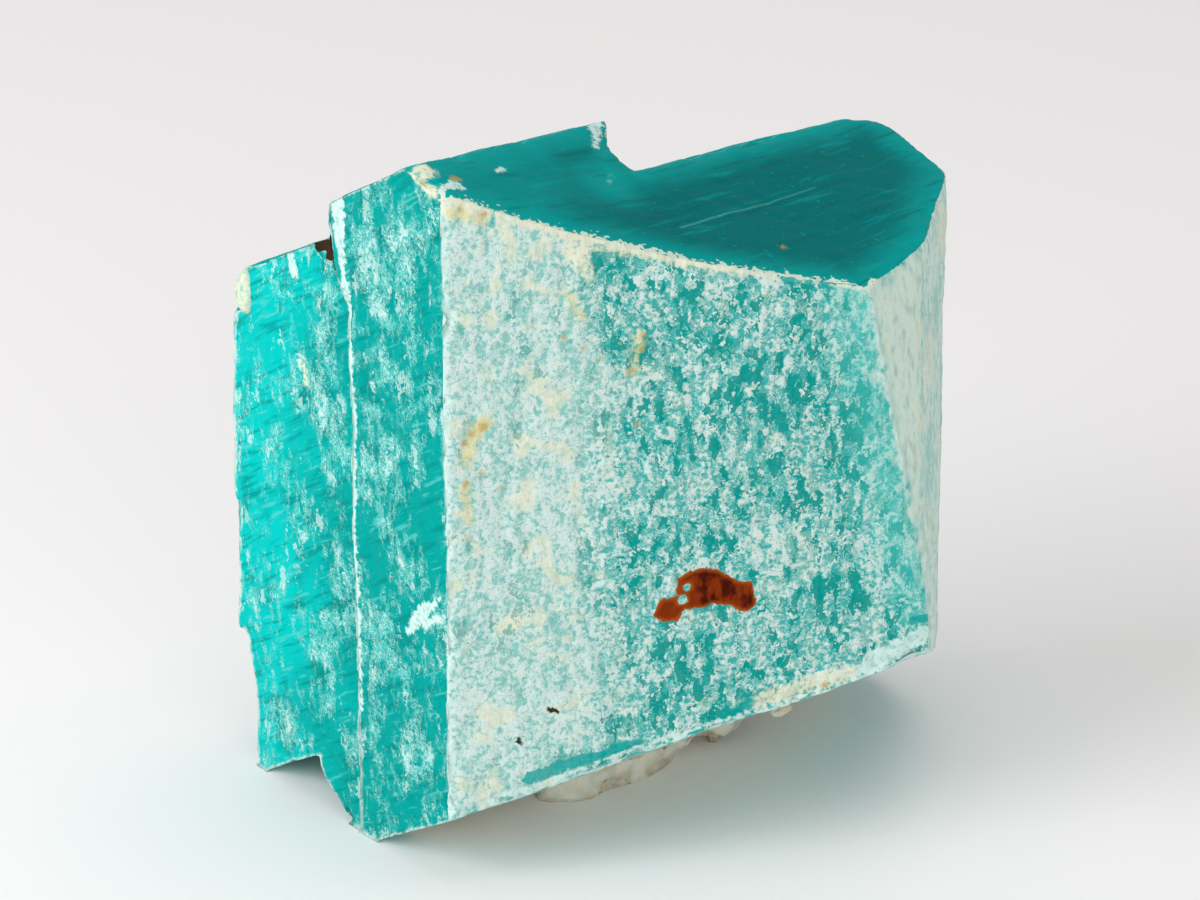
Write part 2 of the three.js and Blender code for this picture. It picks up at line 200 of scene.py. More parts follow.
# The noises that the material reads: bumps a millimetre along each axis, seed, and layers.
PATTERNS = {
    "broad": ((0.13, 0.13, 0.13), 41, 3),
    "patchy": ((0.32, 0.32, 0.2), 43, 3),
    "cloudy": ((0.55, 0.55, 0.55), 47, 3),
    "ragged": ((0.9, 0.9, 0.9), 53, 2),
}
SPLIT_ROUNDS = 5
# The longest edges: on the sides that the photo shows, elsewhere, and this close to the border
# of a mark.
SHOWN_EDGE = 0.48
OTHER_EDGE = 0.64
MARK_EDGE = 0.2
MARK_REACH = 0.3
# How far behind the front and left faces the fine mesh goes, and above which height the top is.
SHOWN_DEPTH = 2.0
TOP_HEIGHT = 36.0
# How far from the planes of those faces their marks may lie.
FRONT_MARK_DEPTH = 1.0
LEFT_MARK_DEPTH = 1.5
# Vertices below this height stay where they are, so that the stone stands as in the frame.
FOOT_HEIGHT = 0.02
CREASE_ANGLE = 28.0
SMOOTH_ROUNDS = 24
SOFTEN_ROUNDS = 2
# How far a vertex moves in each round towards the mean of its neighbours, as a share of the way.
FACE_PULL = 0.6
CREASE_PULL = 0.25
CORNER_PULL = 0.1
SOFTEN_PULL = 0.45
# Distances to borders and creases aren't measured further than this.
REGION_REACH = 8.0
# Vertices that agree to this many digits are one.
JOIN_DIGITS = 4
SLIGHT = 1e-6
TINY = 1e-12

# ---- Relief: how deep each kind sinks, in millimetres --------------------------------------------
FROST, PITS, PLATES, GRAIN, STEPS, SUGAR = 0.07, 0.09, 0.05, 0.05, 0.05, 0.3
# The broken faces' steps along the cleavage, their upright steps, and their roughness.
CLEAVAGE_STEPS, UPRIGHT_STEPS, ROUGHNESS = 0.5, 0.32, 0.16
# Within this distance of a border, the reliefs of the two faces are mixed.
RELIEF_BLEND = 0.5
# Between these distances from a crease, the broken faces' relief grows to its full depth.
STEPS_FADE = (0.2, 3.0)
# Worn edges, the chips in them, the chips' share by the seam, and how wide the wear is.
WORN, CHIPPED, CHIPS_BY_SEAM, WEAR_WIDTH = 0.06, 0.34, 0.1, 1.1
# The seam's edges: how far from it they are along the left face, and behind that face.
SEAM_REACH, SEAM_EDGE_DEPTH = 1.0, 1.5

# The lump's middle and radii: along the left face, out from it, and up.
LUMP_PLACE = (21.05, -0.75, 34.1)
LUMP_RADII = (0.85, 0.75, 1.65)
LUMP_ROWS, LUMP_COLUMNS = 9, 14
LUMP_BUMPS = 0.16

# ---- Noise ---------------------------------------------------------------------------------------
# Each layer of a noise has this many times more bumps than the one before, and is weaker by this.
LAYER_FINER, LAYER_WEAKER = 2.03, 1.9
NOISE_GAIN = 1.6
rng = np.random.default_rng(seed=7)
SHUFFLE = rng.permutation(256)
GRADIENTS = rng.normal(size=(256, 3))
GRADIENTS /= np.linalg.norm(GRADIENTS, axis=1)[:, None]


def hashed(cells, seed):
    """A number from 0 to 255 for each lattice cell."""
    value = SHUFFLE[(cells[:, 2] + seed) & 255]
    value = SHUFFLE[(cells[:, 1] + value) & 255]
    return SHUFFLE[(cells[:, 0] + value) & 255]


def lattice_noise(points, seed):
    """Smooth noise from about -1 to 1, with one bump to each unit cell."""
    cells = np.floor(points).astype(int)
    part = points - cells
    fade = part**3 * (part * (part * 6 - 15) + 10)
    total = np.zeros(len(points))
    for corner in product((0, 1), repeat=3):
        slope = GRADIENTS[hashed(cells + corner, seed)]
        weight = np.prod(np.where(corner, fade, 1 - fade), axis=1)
        total += weight * ((part - corner) * slope).sum(axis=1)
    return total * NOISE_GAIN


def layered_noise(points, seed, layers):
    """Lattice noise with finer and weaker layers on top, at points given in bumps."""
    return sum(
        lattice_noise(points * LAYER_FINER**k, seed + 11 * k) / LAYER_WEAKER**k
        for k in range(layers)
    )


def smooth_step(value, low, high):
    """From 0 at low to 1 at high, which may also be the smaller of the two."""
    part = np.clip((value - low) / (high - low), 0, 1)
    return part * part * (3 - 2 * part)


# ---- The frame's mesh, made finer ----------------------------------------------------------------


def frame_mesh(name):
    """Vertices in the crystal's own millimetres, with doubles joined, and triangles."""
    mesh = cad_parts[name].data
    mesh.calc_loop_triangles()
    places = np.empty(len(mesh.vertices) * 3)
    mesh.vertices.foreach_get("co", places)
    corners = np.empty(len(mesh.loop_triangles) * 3, int)
    mesh.loop_triangles.foreach_get("vertices", corners)
    places = places.reshape(-1, 3) / MM - FOOT
    _, first, same = np.unique(
        np.round(places, JOIN_DIGITS), axis=0, return_index=True, return_inverse=True
    )
    triangles = same.reshape(-1)[corners].reshape(-1, 3)
    whole = (np.diff(np.sort(triangles, axis=1), axis=1) > 0).all(axis=1)
    return places[first], triangles[whole]


def edges_of(triangles):
    """(ends of each edge, the three edges of each triangle)."""
    sides = np.sort(triangles[:, [0, 1, 1, 2, 2, 0]].reshape(-1, 2), axis=1)
    base = triangles.max() + 1
    keys, owner = np.unique(sides[:, 0] * base + sides[:, 1], return_inverse=True)
    return np.stack([keys // base, keys % base], axis=1), owner.reshape(-1, 3)


def split_once(vertices, triangles, longest):
    """Halves each edge that is longer than its place allows."""
    ends, sides = edges_of(triangles)
    a, b = vertices[ends[:, 0]], vertices[ends[:, 1]]
    middle = (a + b) / 2
    marked = np.linalg.norm(a - b, axis=1) > longest(middle)
    new_index = len(vertices) + np.cumsum(marked) - 1
    cut = marked[sides]
    count = cut.sum(axis=1)
    pieces = [triangles[count == 0]]
    for turn in range(3):
        order = [turn, (turn + 1) % 3, (turn + 2) % 3]
        corner, side, is_cut = triangles[:, order], new_index[sides[:, order]], cut[:, order]
        one = (count == 1) & is_cut[:, 0]
        p, q, r, m = corner[one, 0], corner[one, 1], corner[one, 2], side[one, 0]
        pieces += [np.stack([p, m, r], 1), np.stack([m, q, r], 1)]
        two = (count == 2) & ~is_cut[:, 2]
        p, q, r = corner[two].T
        m, n = side[two, 0], side[two, 1]
        pieces += [np.stack([m, q, n], 1), np.stack([p, m, n], 1), np.stack([p, n, r], 1)]
    three = count == 3
    p, q, r = triangles[three].T
    m, n, o = new_index[sides[three]].T
    pieces += [
        np.stack(corners, 1) for corners in ((p, m, o), (m, q, n), (o, n, r), (m, n, o))
    ]
    return np.concatenate([vertices, middle[marked]]), np.concatenate(pieces)


def refined(vertices, triangles, longest):
    """Halves the long edges again and again, longest being the most that each place allows."""
    for _ in range(SPLIT_ROUNDS):
        vertices, triangles = split_once(vertices, triangles, longest)
    return vertices, triangles


def unit(vectors):
    return vectors / np.maximum(np.linalg.norm(vectors, axis=1), TINY)[:, None]


def area_vectors(vertices, triangles):
    """Each triangle's normal, as long as twice its area."""
    a, b, c = (vertices[triangles[:, k]] for k in range(3))
    return np.cross(b - a, c - a)


def triangle_normals(vertices, triangles):
    return unit(area_vectors(vertices, triangles))


def vertex_normals(vertices, triangles):
    """Each vertex's normal, to which its triangles add by their area."""
    owners = triangles.ravel()
    areas = np.repeat(area_vectors(vertices, triangles), 3, axis=0)
    return unit(np.stack([np.bincount(owners, areas[:, k], len(vertices)) for k in range(3)], 1))


# ---- Regions -------------------------------------------------------------------------------------


def in_crust(points):
    """True where a point is in or on one of the crust's lumps."""
    inside = np.zeros(len(points), bool)
    for centre, radii, turn in CRUST_LUMPS:
        along = direction(turn)
        across = direction(turn + 90)
        offset = points - centre
        local = np.stack([offset @ along, offset @ across, offset[:, 2]], axis=1) / radii
        inside |= np.linalg.norm(local, axis=1) < CRUST_SWELL
    return inside


def regions_of(vertices, triangles):
    """For each region's name, which triangles are in it."""
    normals = triangle_normals(vertices, triangles)
    centres = vertices[triangles].mean(axis=1)
    height = centres[:, 2]
    level = normals[:, 2] > FACING["level"]
    on_front = np.abs(centres @ FRONT_NORMAL) < FRONT_REACH
    leaning = normals[:, 0] <= LEDGE_LEAN
    regions = {
        "crust": in_crust(centres) & ~(level & (height > CRUST_BELOW)),
        "front": (normals @ FRONT_NORMAL > FACING["front"]) & on_front,
        "left": normals @ LEFT_NORMAL > FACING["left"],
        "top": level & ~leaning & (height > TOP_ABOVE),
        "ledge": level & leaning & (height > TOP_ABOVE),
        "bevel": normals @ direction(BEVEL_AZIMUTH, BEVEL_TILT) > FACING["bevel"],
        "right": normals @ direction(RIGHT_AZIMUTH) > FACING["right"],
    }
    # A triangle that fits several regions is in the first of them.
    taken = np.zeros(len(triangles), bool)
    for name, chosen in regions.items():
        regions[name] = chosen & ~taken
        taken |= chosen
    regions["broken"] = ~taken
    return regions


def distance_to(points, targets):
    """How far each point is from the nearest target, REGION_REACH at most."""
    tree = KDTree(len(targets))
    for index, target in enumerate(targets):
        tree.insert(target, index)
    tree.balance()
    found = (tree.find(point)[2] for point in points)
    return np.minimum(np.fromiter(found, float, len(points)), REGION_REACH)


def region_depth(vertices, triangles, chosen):
    """How far each vertex is inside a region of triangles, and below zero how far outside."""
    inside = np.zeros(len(vertices), bool)
    outside = inside.copy()
    inside[triangles[chosen].ravel()] = True
    outside[triangles[~chosen].ravel()] = True
    border = vertices[inside & outside]
    if not len(border):
        return np.full(len(vertices), -REGION_REACH)
    depth = distance_to(vertices, border)
    return np.where(inside, depth, -depth)


# ---- Smoothing -----------------------------------------------------------------------------------


def neighbour_mean(vertices, ends):
    """The mean of each vertex's neighbours along these edges, and how many it has."""
    a = np.concatenate([ends[:, 0], ends[:, 1]])
    b = np.concatenate([ends[:, 1], ends[:, 0]])
    count = np.bincount(a, minlength=len(vertices))
    total = np.stack(
        [np.bincount(a, vertices[b, k], len(vertices)) for k in range(3)], axis=1
    )
    return total / np.maximum(count, 1)[:, None], count


def sharp_edges(vertices, triangles):
    """(all edges, which of them turn by more than the crease angle)."""
    ends, sides = edges_of(triangles)
    normals = triangle_normals(vertices, triangles)
    owners = np.argsort(sides.ravel(), kind="stable").reshape(-1, 2) // 3
    turn = (normals[owners[:, 0]] * normals[owners[:, 1]]).sum(axis=1)
    return ends, turn < math.cos(math.radians(CREASE_ANGLE))


def smoothed(vertices, ends, sharp, fixed):
    """Evens out the faces between the creases, and the creases along their length."""
    creases = ends[sharp]
    on_crease = np.zeros(len(vertices), bool)
    on_crease[creases.ravel()] = True
    for _ in range(SMOOTH_ROUNDS):
        mean, _ = neighbour_mean(vertices, ends)
        crease_mean, crease_count = neighbour_mean(vertices, creases)
        target = np.where(on_crease[:, None], crease_mean, mean)
        crease_pull = np.where(crease_count == 2, CREASE_PULL, CORNER_PULL)
        pull = np.where(on_crease, crease_pull, FACE_PULL)
        pull[fixed] = 0
        vertices = vertices + pull[:, None] * (target - vertices)
    for _ in range(SOFTEN_ROUNDS):
        mean, _ = neighbour_mean(vertices, ends)
        vertices = vertices + np.where(fixed, 0, SOFTEN_PULL)[:, None] * (mean - vertices)
    return vertices


# ---- Marks ---------------------------------------------------------------------------------------


def face_plane(vertices, face):
    """The two coordinates that marks on a face are given in."""
    if face == "front":
        return np.stack([vertices @ ALONG_FRONT, vertices[:, 2]], axis=1)
    if face == "left":
        return np.stack([vertices @ ALONG_LEFT, vertices[:, 2]], axis=1)
    return vertices[:, :2]


def stroke_depth(points, line, widths):
    """How far inside a stroke of changing half width each point is."""
    line = np.array(line, float)
    lengths = np.linalg.norm(np.diff(line, axis=0), axis=1)
    starts = np.concatenate([[0], np.cumsum(lengths)])
    depth = np.full(len(points), FAR_OUTSIDE)
    for a, b, start, length in zip(line, line[1:], starts, lengths):
        share = np.clip(((points - a) @ (b - a)) / length**2, 0, 1)
        gap = np.linalg.norm(points - a - share[:, None] * (b - a), axis=1)
        part = (start + share * length) / starts[-1]
        width = widths[0] + (widths[1] - widths[0]) * part
        depth = np.maximum(depth, width - gap)
    return depth


def outline_depth(points, outline):
    """How far inside a closed outline each point is, and below zero how far outside."""
    outline = np.array(outline, float)
    inside = np.zeros(len(points), bool)
    depth = np.full(len(points), -FAR_OUTSIDE)
    for a, b in zip(outline, np.roll(outline, -1, axis=0)):
        share = np.clip(((points - a) @ (b - a)) / ((b - a) @ (b - a)), 0, 1)
        gap = np.linalg.norm(points - a - share[:, None] * (b - a), axis=1)
        depth = np.minimum(depth, gap)
        spans = (a[1] > points[:, 1]) != (b[1] > points[:, 1])
        crossing = a[0] + (points[:, 1] - a[1]) / (b[1] - a[1] + TINY) * (b[0] - a[0])
        inside ^= spans & (points[:, 0] < crossing)
    return np.where(inside, depth, -depth)


def mark_depths(vertices, members):
    """For each kind of mark, how far inside one each vertex is."""
    depths = {kind: np.full(len(vertices), FAR_OUTSIDE) for kind in MARK_KINDS}
    strokes = MARKS + [
        ("stain", "front", (radius, radius), [(along, height), (along + STAIN_LENGTH, height)])
        for along, height, radius in STAINS
    ]
    for kind, face, widths, line in strokes:
        chosen = members[face]
        points = face_plane(vertices[chosen], face)
        depths[kind][chosen] = np.maximum(depths[kind][chosen], stroke_depth(points, line, widths))
    chosen = members["front"]
    points = face_plane(vertices[chosen], "front")
    rust = outline_depth(points, RUST_OUTLINE)
    for along, height, radius in RUST_HOLES:
        rust = np.minimum(rust, np.linalg.norm(points - (along, height), axis=1) - radius)
    depths["rust"][chosen] = rust
    return depths


def with_parts(members, points):
    """Adds the small parts of the broken faces that have marks of their own."""
    x, height = points[:, 0], points[:, 2]
    broken = members["broken"]
    return members | {
        "hollow": broken & (height > HOLLOW_HEIGHTS[0]) & (height < HOLLOW_HEIGHTS[1]),
        "shoulder": (broken | members["ledge"]) & (x < SHOULDER[0]) & (height > SHOULDER[1]),
        "seam": broken & (height < HOLLOW_HEIGHTS[0]) & (points @ LEFT_NORMAL > -SEAM_DEPTH),
    }


def close_to_marks(points):
    """True where a point is close to the edge of a mark, where the mesh has to be finer."""
    close = np.zeros(len(points), bool)
    on_left = np.abs(points @ LEFT_NORMAL) < LEFT_MARK_DEPTH
    members = {
        "front": np.abs(points @ FRONT_NORMAL) < FRONT_MARK_DEPTH,
        "left": on_left,
        "broken": on_left,
        "ledge": on_left,
        "top": points[:, 2] > TOP_HEIGHT,
    }
    for depth in mark_depths(points, with_parts(members, points)).values():
        close |= (depth > -MARK_REACH) & (depth < MARK_REACH)
    return close


# ---- Relief --------------------------------------------------------------------------------------


def stepped(points, axis, period, seed):
    """Slopes from 0 to 1 that drop back every period, like the broken edges of cleavage plates."""
    place = points @ axis / period + 0.7 * layered_noise(points * 0.22, seed, 2)
    return place - np.floor(place)


def relief(vertices, depth, to_crease):
    """How far each vertex sinks into the stone: the relief of its face, and worn edges."""
    upright = vertices * (1, 1, 0.45)
    frost = FROST * (1 + layered_noise(vertices * 1.25, 3, 2))
    pits = PITS * smooth_step(lattice_noise(upright * 0.9, 21), 0.15, 0.5)
    plates = PLATES * np.floor(2.5 * (1 + layered_noise(vertices * (0.5, 0.5, 0.16), 5, 2)))
    grain = GRAIN * (1 + layered_noise(vertices * (1.3, 1.3, 0.5), 9, 2))
    steps = STEPS * (1 + lattice_noise(vertices * (0.35, 1.1, 0.4), 13))
    chunks = smooth_step(to_crease, *STEPS_FADE) * (
        CLEAVAGE_STEPS * stepped(vertices, CLEAVAGE_NORMAL, 3.4, 8)
        + UPRIGHT_STEPS * stepped(vertices, direction(LEFT_AZIMUTH + 70), 4.6, 12)
        + ROUGHNESS * (1 + layered_noise(vertices * 0.9, 17, 3))
    )
    sugar = SUGAR * (1 + layered_noise(vertices * 0.55, 15, 4))
    reliefs = {
        "front": frost + pits, "left": plates + grain, "top": steps, "ledge": steps,
        "bevel": frost, "right": frost, "broken": chunks, "crust": sugar,
    }
    weights = {
        name: smooth_step(depth[name], -RELIEF_BLEND, RELIEF_BLEND) + SLIGHT for name in reliefs
    }
    sunk = sum(weights[name] * reliefs[name] for name in reliefs) / sum(weights.values())
    chips = smooth_step(layered_noise(vertices * 0.4, 31, 3), 0.1, 1.1)
    by_seam = np.abs(vertices @ ALONG_LEFT - SEAM_ALONG) < SEAM_REACH
    by_seam &= vertices @ LEFT_NORMAL > -SEAM_EDGE_DEPTH
    chips = np.where(by_seam, CHIPS_BY_SEAM * chips, chips)
    return sunk + (WORN + CHIPPED * chips) * smooth_step(to_crease, WEAR_WIDTH, 0)


def albite_lump():
    """Vertices and triangles of the small albite lump on the broken shoulder at the left end."""
    tilt = np.radians(np.linspace(-90, 90, LUMP_ROWS)[1:-1])
    turn = np.radians(np.arange(LUMP_COLUMNS) * 360 / LUMP_COLUMNS)
    tilt, turn = (angle.ravel() for angle in np.meshgrid(tilt, turn, indexing="ij"))
    rings = np.stack([np.cos(tilt) * np.cos(turn), np.cos(tilt) * np.sin(turn), np.sin(tilt)], 1)
    ball = np.concatenate([rings, [[0, 0, -1], [0, 0, 1]]])
    ball *= (1 + LUMP_BUMPS * layered_noise(ball * 1.4, 61, 2))[:, None]
    axes = np.stack([ALONG_LEFT, LEFT_NORMAL, (0, 0, 1)])
    vertices = (LUMP_PLACE + ball * LUMP_RADII) @ axes
    here = np.arange(LUMP_COLUMNS)
    after = (here + 1) % LUMP_COLUMNS
    last = len(rings) - LUMP_COLUMNS
    pieces = []
    for low in range(0, last, LUMP_COLUMNS):
        high = low + LUMP_COLUMNS
        pieces.append(np.stack([low + here, low + after, high + after], 1))
        pieces.append(np.stack([low + here, high + after, high + here], 1))
    bottom, top = (np.full(LUMP_COLUMNS, len(rings) + end) for end in (0, 1))
    pieces.append(np.stack([after, here, bottom], 1))
    pieces.append(np.stack([last + here, last + after, top], 1))
    return vertices, np.concatenate(pieces)


def fitted(vertices, low, high):
    """Stretches the stone by the little that it has shrunk, to fill the frame's box again."""
    now_low, now_high = vertices.min(axis=0), vertices.max(axis=0)
    return low + (vertices - now_low) * (high - low) / (now_high - now_low)


def longest_edge(points):
    """The longest edge that each of these places allows."""
    shown = points[:, 2] > TOP_HEIGHT
    for normal in (FRONT_NORMAL, LEFT_NORMAL):
        shown |= points @ normal > -SHOWN_DEPTH
    return np.where(close_to_marks(points), MARK_EDGE, np.where(shown, SHOWN_EDGE, OTHER_EDGE))


def with_lump(vertices, triangles, attributes):
    """Adds the lump as a shell of its own, cream and outside every other mark and region."""
    lump, lump_triangles = albite_lump()
    values = {"mark_cream": 1.0, "crease": REGION_REACH}
    attributes = {
        name: np.append(value, np.full(len(lump), values.get(name, FAR_OUTSIDE)))
        for name, value in attributes.items()
    }
    triangles = np.concatenate([triangles, lump_triangles + len(vertices)])
    return np.concatenate([vertices, lump]), triangles, attributes


def dressed_stone():
    """(vertices, triangles, attributes) of the finished stone."""
    vertices, triangles = frame_mesh(NODE)
    low, high = vertices.min(axis=0), vertices.max(axis=0)
    vertices, triangles = refined(vertices, triangles, longest_edge)
    regions = regions_of(vertices, triangles)
    ends, sharp = sharp_edges(vertices, triangles)
    depth = {
        name: region_depth(vertices, triangles, chosen) for name, chosen in regions.items()
    }
    to_crease = distance_to(vertices, vertices[np.unique(ends[sharp])])
    on_foot = vertices[:, 2] < FOOT_HEIGHT
    vertices = smoothed(vertices, ends, sharp, on_foot)
    members = with_parts({name: value > -SLIGHT for name, value in depth.items()}, vertices)
    marks = mark_depths(vertices, members)
    sunk = relief(vertices, depth, to_crease)
    sunk[on_foot] = 0
    vertices = vertices - sunk[:, None] * vertex_normals(vertices, triangles)
    vertices = fitted(vertices, low, high)
    attributes = {f"in_{name}": value for name, value in depth.items()}
    attributes.update({f"mark_{name}": value for name, value in marks.items()})
    attributes["crease"] = to_crease
    vertices, triangles, attributes = with_lump(vertices, triangles, attributes)
    for name, (scale, seed, layers) in PATTERNS.items():
        attributes[name] = layered_noise(vertices * scale, seed, layers)
    attributes["spread"] = sum(
        smooth_step(vertices @ axis + wander * attributes["broad"], start, end)
        for axis, wander, start, end in SPREAD
    )
    return vertices, triangles, attributes


def mesh_object(name, vertices, triangles, attributes):
    """An object in the frame, from vertices in the crystal's own millimetres."""
    mesh = bpy.data.meshes.new(name)
    mesh.vertices.add(len(vertices))
    mesh.vertices.foreach_set("co", ((vertices + FOOT) * MM).ravel())
    mesh.loops.add(len(triangles) * 3)
    mesh.loops.foreach_set("vertex_index", triangles.ravel().astype(np.int32))
    mesh.polygons.add(len(triangles))
    mesh.polygons.foreach_set("loop_start", np.arange(0, len(triangles) * 3, 3, dtype=np.int32))
    mesh.update(calc_edges=True)
    mesh.polygons.foreach_set("use_smooth", np.ones(len(triangles), bool))
    for key, members in PACKS.items():
        layer = mesh.attributes.new(key, "FLOAT_VECTOR", "POINT")
        values = np.stack([attributes[member] for member in members], axis=1)
        layer.data.foreach_set("vector", values.ravel().astype(np.float32))
    mesh.validate()
    made = bpy.data.objects.new(name, mesh)
    bpy.context.scene.collection.objects.link(made)
    return made


# ---- Materials -----------------------------------------------------------------------------------


def srgb(red, green, blue):
    """A screen colour from 0 to 255 as the linear colour that shaders use."""
    def linear(value):
        value /= 255
        return value / 12.92 if value <= 0.04045 else ((value + 0.055) / 1.055) ** 2.4
    return (linear(red), linear(green), linear(blue), 1.0)


# The sockets of a Mix node that mixes colours.
MIX_SHARE, MIX_FIRST, MIX_SECOND, MIX_RESULT = 0, 6, 7, 2


class Graph:
    """Short words for a material's nodes."""

    def __init__(self, name):
        self.material = bpy.data.materials.new(name)
        self.material.use_nodes = True
        self.tree = self.material.node_tree
        self.shader = self.tree.nodes["Principled BSDF"]
        self.packs = {}

    def node(self, kind, inputs, output=0, **settings):
        """Adds a node, and returns its output with this name or index."""
        made = self.tree.nodes.new(kind)
        for key, value in settings.items():
            setattr(made, key, value)
        for key, value in inputs.items():
            self.put(made.inputs[key], value)
        return made.outputs[output]

    def put(self, socket, value):
        """Links the value, or sets it on the socket if it is the same all over."""
        if isinstance(value, bpy.types.NodeSocket):
            self.tree.links.new(value, socket)
        else:
            socket.default_value = value

    def math(self, operation, *values):
        return self.node("ShaderNodeMath", dict(enumerate(values)), operation=operation)

    def times(self, first, *others):
        for value in others:
            first = self.math("MULTIPLY", first, value)
        return first

    def blend(self, offset, *pairs):
        """The offset and each value times its factor, all added up."""
        for value, factor in pairs:
            offset = self.math("MULTIPLY_ADD", value, factor, offset)
        return offset

    def ramp(self, value, low, high, bottom=0.0, top=1.0):
        """Turns low..high into bottom..top, smoothly and clamped."""
        return self.node(
            "ShaderNodeMapRange",
            {"Value": value, "From Min": low, "From Max": high, "To Min": bottom, "To Max": top},
            interpolation_type="SMOOTHSTEP",
        )

    def mix(self, share, first, second):
        """Two colours mixed, the second one's share from 0 to 1."""
        inputs = {MIX_SHARE: share, MIX_FIRST: first, MIX_SECOND: second}
        return self.node("ShaderNodeMix", inputs, MIX_RESULT, data_type="RGBA")

    def vector(self, operation, inputs, output="Vector"):
        return self.node("ShaderNodeVectorMath", inputs, output, operation=operation)

    def dot(self, place, axis):
        return self.vector("DOT_PRODUCT", {0: place, 1: tuple(axis)}, "Value")

    def combine(self, x, y, z):
        return self.node("ShaderNodeCombineXYZ", {"X": x, "Y": y, "Z": z})

    def noise(self, place, scale, detail, roughness, distortion=0.0):
        """Noise from 0 to 1, with this many bumps to a unit of place, and finer layers of it."""
        inputs = {"Vector": place, "Scale": scale, "Detail": detail}
        inputs |= {"Roughness": roughness, "Distortion": distortion}
        return self.node("ShaderNodeTexNoise", inputs, "Fac")

    def cells(self, place, scale):
        """Square-cornered cells, each with a random colour of its own."""
        inputs = {"Vector": place, "Scale": scale}
        return self.node("ShaderNodeTexVoronoi", inputs, "Color", distance="CHEBYCHEV")

    def attribute(self, name):
        """One of the vertex values, out of the attribute that it is packed in."""
        pack = next(key for key, members in PACKS.items() if name in members)
        if pack not in self.packs:
            whole = self.node("ShaderNodeAttribute", {}, "Vector", attribute_name=pack)
            parts = self.tree.nodes.new("ShaderNodeSeparateXYZ")
            self.put(parts.inputs[0], whole)
            self.packs[pack] = parts.outputs
        return self.packs[pack][PACKS[pack].index(name)]


WHITE = srgb(208, 227, 220)
CREAM = srgb(228, 228, 200)
PALE = srgb(138, 198, 190)
MID = srgb(66, 175, 168)
DEEP = srgb(0, 150, 142)
LEFT_TEAL = srgb(0, 156, 149)
# The left face's painted glow, brighter away from the front edge.
LEFT_PAINTED_GLOW = srgb(0, 192, 186)
LEFT_DARK = srgb(0, 128, 122)
HAZE = srgb(96, 200, 193)
MILKY = srgb(206, 234, 228)
BEVEL_PALE = srgb(213, 234, 222)
TOP_TEAL = srgb(0, 142, 139)
TOP_DARK = srgb(0, 110, 109)
TOP_LINE = srgb(0, 96, 97)
EDGE_TEAL = srgb(4, 164, 160)
GREY_GREEN = srgb(170, 203, 191)
RIGHT_PALE = srgb(214, 233, 225)
RIGHT_TEAL = srgb(164, 212, 204)
BROKEN_TEAL = srgb(40, 176, 170)
BROKEN_PALE = srgb(140, 208, 202)
CRUST_PALE = srgb(240, 234, 216)
CRUST_DARK = srgb(204, 190, 158)
YELLOW = srgb(222, 212, 150)
GLOW = srgb(86, 204, 194)
STAIN = srgb(184, 154, 82)
# Brown for the small dark spots on the front, and painted shade in and beside the hollow on the
# left.
BROWN_SPOT_AND_SHADE = srgb(60, 47, 36)
RUST_RED = srgb(72, 20, 10)
RUST_ORANGE = srgb(132, 50, 14)
RUST_EDGE = srgb(178, 84, 22)
# How deep the finest grain is, in millimetres, and how much the stone mirrors.
BUMP_DEPTH = 0.25
STONE_SPECULAR = 0.015


class Textures:
    """The patterns that the faces share, in millimetres of the crystal's own coordinates."""

    def __init__(self, g):
        metres = g.node("ShaderNodeTexCoord", {}, "Object")
        in_frame = g.vector("SCALE", {0: metres, "Scale": 1 / MM})
        self.place = g.vector("SUBTRACT", {0: in_frame, 1: tuple(FOOT)})
        upright = g.vector("MULTIPLY", {0: self.place, 1: (1.0, 1.0, 0.5)})
        self.grains = g.noise(upright, 1.7, 3.0, 0.6)
        self.worms = g.noise(self.place, 1.9, 1.0, 0.5, 0.9)
        self.fine = g.noise(self.place, 3.2, 1.0, 0.6)
        self.broad, self.patchy, self.cloudy, self.ragged, self.spread = (
            g.attribute(name) for name in ("broad", "patchy", "cloudy", "ragged", "spread")
        )
        self.mottle = g.blend(0.0, (self.grains, 1.0), (self.patchy, 0.16))
        # Fine noise about zero, to fray a border with.
        self.crisp = g.blend(-0.35, (self.fine, 0.7))
        # Thin curls, along the middle level of each noise.
        self.worm_lines = g.math("COMPARE", self.worms, 0.5, 0.018)
        self.fine_lines = g.math("COMPARE", self.fine, 0.5, 0.022)
        self.along_front = g.dot(self.place, ALONG_FRONT)
        # The cells are drawn out upright, and the noises bend their borders.
        front_place = g.combine(
            g.blend(-0.45, (self.along_front, 1.0), (self.worms, 0.9)),
            g.blend(-0.45, (g.dot(self.place, FRONT_NORMAL), 1.0), (self.fine, 0.9)),
            g.blend(-0.9, (g.dot(self.place, (0, 0, 1)), 0.55), (self.grains, 1.8)),
        )
        self.cells = g.dot(g.cells(front_place, 2.0), (0.55, 0.3, 0.0))
        # Lines are noise that is drawn out along the cleavage, or along the top's own direction.
        on_top = g.math("GREATER_THAN", g.attribute("in_top"), -0.05)
        cleavage = g.combine(
            g.dot(self.place, CLEAVAGE_STRIKE * 0.25),
            g.dot(self.place, CLEAVAGE_FALL_LINE * 0.25),
            g.dot(self.place, CLEAVAGE_NORMAL * 2.2),
        )
        top = g.combine(
            g.dot(self.place, TOP_LINE_ALONG * 0.16), g.dot(self.place, TOP_LINE_ACROSS * 1.5), 0.0
        )
        self.lines = g.noise(g.mix(on_top, cleavage, top), 1.0, 2.0, 0.62)


